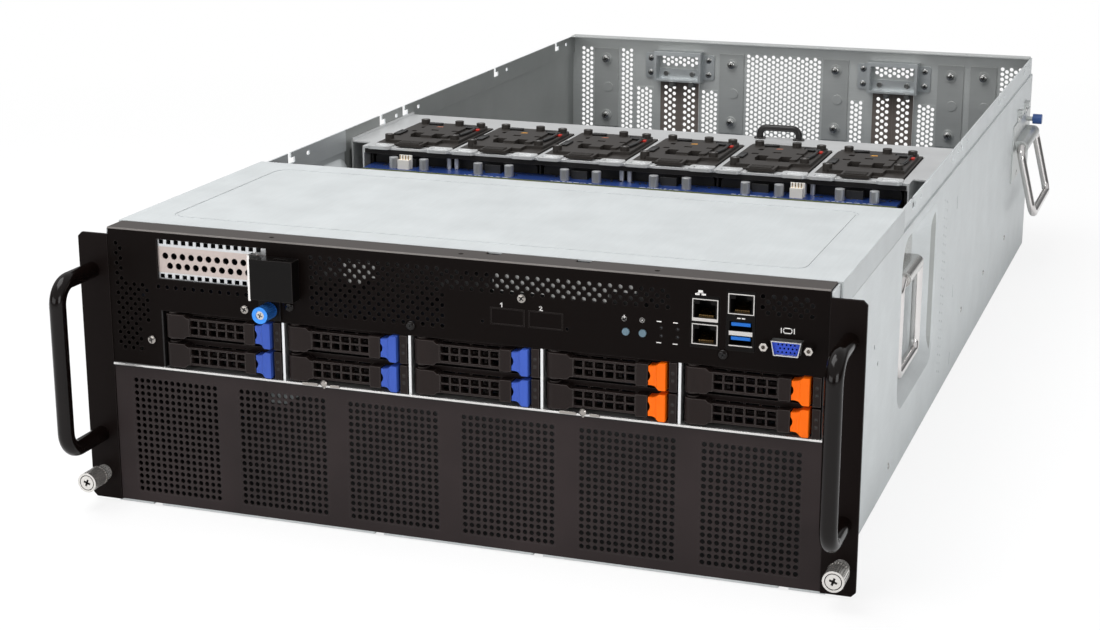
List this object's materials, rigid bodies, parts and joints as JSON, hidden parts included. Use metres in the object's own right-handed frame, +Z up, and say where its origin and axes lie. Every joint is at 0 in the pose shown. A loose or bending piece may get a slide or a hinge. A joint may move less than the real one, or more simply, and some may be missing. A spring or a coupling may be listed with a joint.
{
  "type": "4u gpu server",
  "caption": "Rack-mount sheet-metal server chassis with front drive trays, ports, perforated panels, lift-out fan modules, open rear card bay and folding side handles.",
  "frame": {"origin": "centre of the bounding box in plan, at the underside of the base pan", "axes": "+Z up, +X to the right seen from the front, the front with the ports and ears faces -Y"},
  "size_m": [0.4964, 0.941, 0.176],
  "materials": {
    "chassis_steel": "plain zinc-coated steel sheet, satin",
    "zinc_steel": "zinc-coated steel sheet, satin",
    "bright_steel": "bright steel sheet",
    "black_steel": "black powder coat, fine texture",
    "black_bar": "black coat, semi-gloss",
    "slot_steel": "bright steel with black-coated covers",
    "board": "blue circuit board",
    "connector_metal": "tinned connector shells",
    "tray_plastic": "black moulded plastic",
    "latch_blue": "blue moulded plastic",
    "latch_orange": "orange moulded plastic",
    "fan_plastic": "black moulded plastic",
    "psu_steel": "zinc-coated steel sheet",
    "nickel": "nickel plate",
    "screw_blue": "blue anodised",
    "button_plastic": "grey-blue plastic",
    "chrome": "polished chrome"
  },
  "bodies": {
    "chassis": {"chassis_shell": "chassis_steel", "rear_wall": "zinc_steel", "front_cover": "chassis_steel", "upper_front_panel": "black_steel", "lower_front_panel": "black_steel", "rack_ears": "black_steel", "front_handles": "black_bar", "drive_cage": "bright_steel", "fan_cage": "bright_steel", "circuit_boards": "board", "io_ports": "connector_metal", "slot_covers": "slot_steel", "handle_brackets": "zinc_steel"},
    "tray_1_lower": {"tray_1_lower": "tray_plastic"},
    "tray_1_lower_lever": {"tray_1_lower_lever": "tray_plastic"},
    "tray_1_lower_latch": {"tray_1_lower_latch": "latch_blue"},
    "tray_1_upper": {"tray_1_upper": "tray_plastic"},
    "tray_1_upper_lever": {"tray_1_upper_lever": "tray_plastic"},
    "tray_1_upper_latch": {"tray_1_upper_latch": "latch_blue"},
    "tray_2_lower": {"tray_2_lower": "tray_plastic"},
    "tray_2_lower_lever": {"tray_2_lower_lever": "tray_plastic"},
    "tray_2_lower_latch": {"tray_2_lower_latch": "latch_blue"},
    "tray_2_upper": {"tray_2_upper": "tray_plastic"},
    "tray_2_upper_lever": {"tray_2_upper_lever": "tray_plastic"},
    "tray_2_upper_latch": {"tray_2_upper_latch": "latch_blue"},
    "tray_3_lower": {"tray_3_lower": "tray_plastic"},
    "tray_3_lower_lever": {"tray_3_lower_lever": "tray_plastic"},
    "tray_3_lower_latch": {"tray_3_lower_latch": "latch_blue"},
    "tray_3_upper": {"tray_3_upper": "tray_plastic"},
    "tray_3_upper_lever": {"tray_3_upper_lever": "tray_plastic"},
    "tray_3_upper_latch": {"tray_3_upper_latch": "latch_blue"},
    "tray_4_lower": {"tray_4_lower": "tray_plastic"},
    "tray_4_lower_lever": {"tray_4_lower_lever": "tray_plastic"},
    "tray_4_lower_latch": {"tray_4_lower_latch": "latch_orange"},
    "tray_4_upper": {"tray_4_upper": "tray_plastic"},
    "tray_4_upper_lever": {"tray_4_upper_lever": "tray_plastic"},
    "tray_4_upper_latch": {"tray_4_upper_latch": "latch_orange"},
    "tray_5_lower": {"tray_5_lower": "tray_plastic"},
    "tray_5_lower_lever": {"tray_5_lower_lever": "tray_plastic"},
    "tray_5_lower_latch": {"tray_5_lower_latch": "latch_orange"},
    "tray_5_upper": {"tray_5_upper": "tray_plastic"},
    "tray_5_upper_lever": {"tray_5_upper_lever": "tray_plastic"},
    "tray_5_upper_latch": {"tray_5_upper_latch": "latch_orange"},
    "fan_module_1": {"fan_module_1": "fan_plastic"},
    "fan_module_2": {"fan_module_2": "fan_plastic"},
    "fan_module_3": {"fan_module_3": "fan_plastic"},
    "fan_module_4": {"fan_module_4": "fan_plastic"},
    "fan_module_5": {"fan_module_5": "fan_plastic"},
    "fan_module_6": {"fan_module_6": "fan_plastic"},
    "power_supply_left": {"power_supply_left": "psu_steel"},
    "power_supply_right": {"power_supply_right": "psu_steel"},
    "rack_screw_left": {"rack_screw_left": "nickel"},
    "rack_screw_right": {"rack_screw_right": "nickel"},
    "retainer_screw": {"retainer_screw": "screw_blue"},
    "power_button": {"power_button": "button_plastic"},
    "id_button": {"id_button": "button_plastic"},
    "rear_handle_left": {"rear_handle_left": "chrome"},
    "rear_handle_right": {"rear_handle_right": "chrome"},
    "pocket_handle_left": {"pocket_handle_left": "chrome"},
    "pocket_handle_right": {"pocket_handle_right": "chrome"}
  },
  "joints": [
    {"name": "tray_1_lower_slide", "type": "slide", "parent": "chassis", "child": "tray_1_lower", "axis": [0, -1, 0], "range_m": [0, 0.11]},
    {"name": "tray_1_lower_lever_hinge", "type": "hinge", "parent": "tray_1_lower", "child": "tray_1_lower_lever", "pos_m": [-0.17978, -0.4219, 0.0999], "axis": [0, 0, -1], "range_deg": [0, 50]},
    {"name": "tray_1_lower_latch_press", "type": "slide", "parent": "tray_1_lower", "child": "tray_1_lower_latch", "axis": [1, 0, 0], "range_m": [0, 0.0012], "stiffness_N_per_m": 800},
    {"name": "tray_1_upper_slide", "type": "slide", "parent": "chassis", "child": "tray_1_upper", "axis": [0, -1, 0], "range_m": [0, 0.11]},
    {"name": "tray_1_upper_lever_hinge", "type": "hinge", "parent": "tray_1_upper", "child": "tray_1_upper_lever", "pos_m": [-0.17978, -0.4219, 0.118], "axis": [0, 0, -1], "range_deg": [0, 50]},
    {"name": "tray_1_upper_latch_press", "type": "slide", "parent": "tray_1_upper", "child": "tray_1_upper_latch", "axis": [1, 0, 0], "range_m": [0, 0.0012], "stiffness_N_per_m": 800},
    {"name": "tray_2_lower_slide", "type": "slide", "parent": "chassis", "child": "tray_2_lower", "axis": [0, -1, 0], "range_m": [0, 0.11]},
    {"name": "tray_2_lower_lever_hinge", "type": "hinge", "parent": "tray_2_lower", "child": "tray_2_lower_lever", "pos_m": [-0.09854, -0.4219, 0.0999], "axis": [0, 0, -1], "range_deg": [0, 50]},
    {"name": "tray_2_lower_latch_press", "type": "slide", "parent": "tray_2_lower", "child": "tray_2_lower_latch", "axis": [1, 0, 0], "range_m": [0, 0.0012], "stiffness_N_per_m": 800},
    {"name": "tray_2_upper_slide", "type": "slide", "parent": "chassis", "child": "tray_2_upper", "axis": [0, -1, 0], "range_m": [0, 0.11]},
    {"name": "tray_2_upper_lever_hinge", "type": "hinge", "parent": "tray_2_upper", "child": "tray_2_upper_lever", "pos_m": [-0.09854, -0.4219, 0.118], "axis": [0, 0, -1], "range_deg": [0, 50]},
    {"name": "tray_2_upper_latch_press", "type": "slide", "parent": "tray_2_upper", "child": "tray_2_upper_latch", "axis": [1, 0, 0], "range_m": [0, 0.0012], "stiffness_N_per_m": 800},
    {"name": "tray_3_lower_slide", "type": "slide", "parent": "chassis", "child": "tray_3_lower", "axis": [0, -1, 0], "range_m": [0, 0.11]},
    {"name": "tray_3_lower_lever_hinge", "type": "hinge", "parent": "tray_3_lower", "child": "tray_3_lower_lever", "pos_m": [-0.0173, -0.4219, 0.0999], "axis": [0, 0, -1], "range_deg": [0, 50]},
    {"name": "tray_3_lower_latch_press", "type": "slide", "parent": "tray_3_lower", "child": "tray_3_lower_latch", "axis": [1, 0, 0], "range_m": [0, 0.0012], "stiffness_N_per_m": 800},
    {"name": "tray_3_upper_slide", "type": "slide", "parent": "chassis", "child": "tray_3_upper", "axis": [0, -1, 0], "range_m": [0, 0.11]},
    {"name": "tray_3_upper_lever_hinge", "type": "hinge", "parent": "tray_3_upper", "child": "tray_3_upper_lever", "pos_m": [-0.0173, -0.4219, 0.118], "axis": [0, 0, -1], "range_deg": [0, 50]},
    {"name": "tray_3_upper_latch_press", "type": "slide", "parent": "tray_3_upper", "child": "tray_3_upper_latch", "axis": [1, 0, 0], "range_m": [0, 0.0012], "stiffness_N_per_m": 800},
    {"name": "tray_4_lower_slide", "type": "slide", "parent": "chassis", "child": "tray_4_lower", "axis": [0, -1, 0], "range_m": [0, 0.11]},
    {"name": "tray_4_lower_lever_hinge", "type": "hinge", "parent": "tray_4_lower", "child": "tray_4_lower_lever", "pos_m": [0.06394, -0.4219, 0.0999], "axis": [0, 0, -1], "range_deg": [0, 50]},
    {"name": "tray_4_lower_latch_press", "type": "slide", "parent": "tray_4_lower", "child": "tray_4_lower_latch", "axis": [1, 0, 0], "range_m": [0, 0.0012], "stiffness_N_per_m": 800},
    {"name": "tray_4_upper_slide", "type": "slide", "parent": "chassis", "child": "tray_4_upper", "axis": [0, -1, 0], "range_m": [0, 0.11]},
    {"name": "tray_4_upper_lever_hinge", "type": "hinge", "parent": "tray_4_upper", "child": "tray_4_upper_lever", "pos_m": [0.06394, -0.4219, 0.118], "axis": [0, 0, -1], "range_deg": [0, 50]},
    {"name": "tray_4_upper_latch_press", "type": "slide", "parent": "tray_4_upper", "child": "tray_4_upper_latch", "axis": [1, 0, 0], "range_m": [0, 0.0012], "stiffness_N_per_m": 800},
    {"name": "tray_5_lower_slide", "type": "slide", "parent": "chassis", "child": "tray_5_lower", "axis": [0, -1, 0], "range_m": [0, 0.11]},
    {"name": "tray_5_lower_lever_hinge", "type": "hinge", "parent": "tray_5_lower", "child": "tray_5_lower_lever", "pos_m": [0.14518, -0.4219, 0.0999], "axis": [0, 0, -1], "range_deg": [0, 50]},
    {"name": "tray_5_lower_latch_press", "type": "slide", "parent": "tray_5_lower", "child": "tray_5_lower_latch", "axis": [1, 0, 0], "range_m": [0, 0.0012], "stiffness_N_per_m": 800},
    {"name": "tray_5_upper_slide", "type": "slide", "parent": "chassis", "child": "tray_5_upper", "axis": [0, -1, 0], "range_m": [0, 0.11]},
    {"name": "tray_5_upper_lever_hinge", "type": "hinge", "parent": "tray_5_upper", "child": "tray_5_upper_lever", "pos_m": [0.14518, -0.4219, 0.118], "axis": [0, 0, -1], "range_deg": [0, 50]},
    {"name": "tray_5_upper_latch_press", "type": "slide", "parent": "tray_5_upper", "child": "tray_5_upper_latch", "axis": [1, 0, 0], "range_m": [0, 0.0012], "stiffness_N_per_m": 800},
    {"name": "fan_module_1_lift", "type": "slide", "parent": "chassis", "child": "fan_module_1", "axis": [0, 0, 1], "range_m": [0, 0.165]},
    {"name": "fan_module_2_lift", "type": "slide", "parent": "chassis", "child": "fan_module_2", "axis": [0, 0, 1], "range_m": [0, 0.165]},
    {"name": "fan_module_3_lift", "type": "slide", "parent": "chassis", "child": "fan_module_3", "axis": [0, 0, 1], "range_m": [0, 0.165]},
    {"name": "fan_module_4_lift", "type": "slide", "parent": "chassis", "child": "fan_module_4", "axis": [0, 0, 1], "range_m": [0, 0.165]},
    {"name": "fan_module_5_lift", "type": "slide", "parent": "chassis", "child": "fan_module_5", "axis": [0, 0, 1], "range_m": [0, 0.165]},
    {"name": "fan_module_6_lift", "type": "slide", "parent": "chassis", "child": "fan_module_6", "axis": [0, 0, 1], "range_m": [0, 0.165]},
    {"name": "power_supply_left_slide", "type": "slide", "parent": "chassis", "child": "power_supply_left", "axis": [0, 1, 0], "range_m": [0, 0.18]},
    {"name": "power_supply_right_slide", "type": "slide", "parent": "chassis", "child": "power_supply_right", "axis": [0, 1, 0], "range_m": [0, 0.18]},
    {"name": "rack_screw_left_turn", "type": "hinge", "parent": "chassis", "child": "rack_screw_left", "pos_m": [-0.23265, -0.4255, 0.018], "axis": [0, 1, 0], "continuous": true},
    {"name": "rack_screw_right_turn", "type": "hinge", "parent": "chassis", "child": "rack_screw_right", "pos_m": [0.23265, -0.4255, 0.018], "axis": [0, 1, 0], "continuous": true},
    {"name": "retainer_screw_turn", "type": "hinge", "parent": "chassis", "child": "retainer_screw", "pos_m": [-0.1133, -0.4255, 0.134], "axis": [0, 1, 0], "continuous": true},
    {"name": "power_button_press", "type": "slide", "parent": "chassis", "child": "power_button", "axis": [0, 1, 0], "range_m": [0, 0.0008], "stiffness_N_per_m": 700},
    {"name": "id_button_press", "type": "slide", "parent": "chassis", "child": "id_button", "axis": [0, 1, 0], "range_m": [0, 0.0008], "stiffness_N_per_m": 700},
    {"name": "rear_handle_left_fold", "type": "hinge", "parent": "chassis", "child": "rear_handle_left", "pos_m": [-0.2307, 0.3845, 0.112], "axis": [0, 1, 0], "range_deg": [0, 76]},
    {"name": "rear_handle_right_fold", "type": "hinge", "parent": "chassis", "child": "rear_handle_right", "pos_m": [0.2307, 0.3845, 0.112], "axis": [0, -1, 0], "range_deg": [0, 76]},
    {"name": "pocket_handle_left_fold", "type": "hinge", "parent": "chassis", "child": "pocket_handle_left", "pos_m": [-0.2167, -0.1445, 0.118], "axis": [0, 1, 0], "range_deg": [0, 90]},
    {"name": "pocket_handle_right_fold", "type": "hinge", "parent": "chassis", "child": "pocket_handle_right", "pos_m": [0.2167, -0.1445, 0.118], "axis": [0, -1, 0], "range_deg": [0, 90]}
  ]
}
